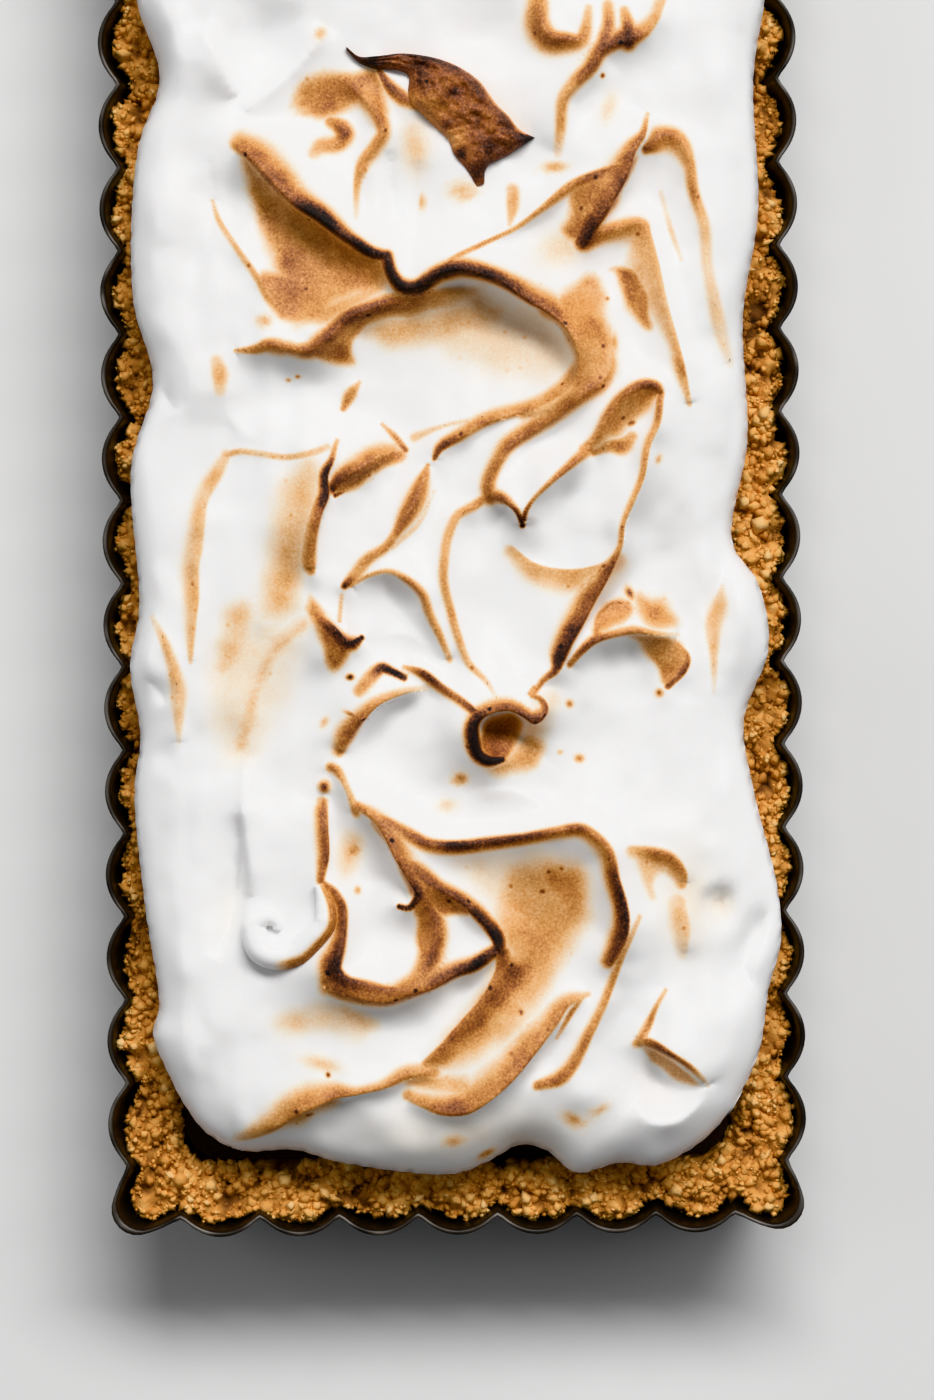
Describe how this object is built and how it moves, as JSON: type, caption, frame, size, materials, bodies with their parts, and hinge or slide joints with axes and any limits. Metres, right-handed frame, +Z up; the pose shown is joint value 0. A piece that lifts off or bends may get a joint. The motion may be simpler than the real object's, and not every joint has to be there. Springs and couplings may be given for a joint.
{
  "type": "chocolate marshmallow tart",
  "caption": "Long rectangular tart in its own fluted metal tin: crumb crust, dark chocolate filling and a thick swirled marshmallow topping toasted brown on its crests.",
  "frame": {"origin": "middle of the tin's flat underside, on the surface that the tart stands on", "axes": "+Z up, +Y along the tart away from the end that the picture shows, +X across the tart to the right in the picture"},
  "size_m": [0.11, 0.35, 0.0446],
  "materials": {
    "tin": "dark non-stick coating on thin steel, satin, with a bright worn edge",
    "crust": null,
    "filling": null,
    "marshmallow": null
  },
  "bodies": {
    "root": {"tin": "tin", "crust": "crust", "filling": "filling", "marshmallow": "marshmallow"}
  },
  "joints": []
}
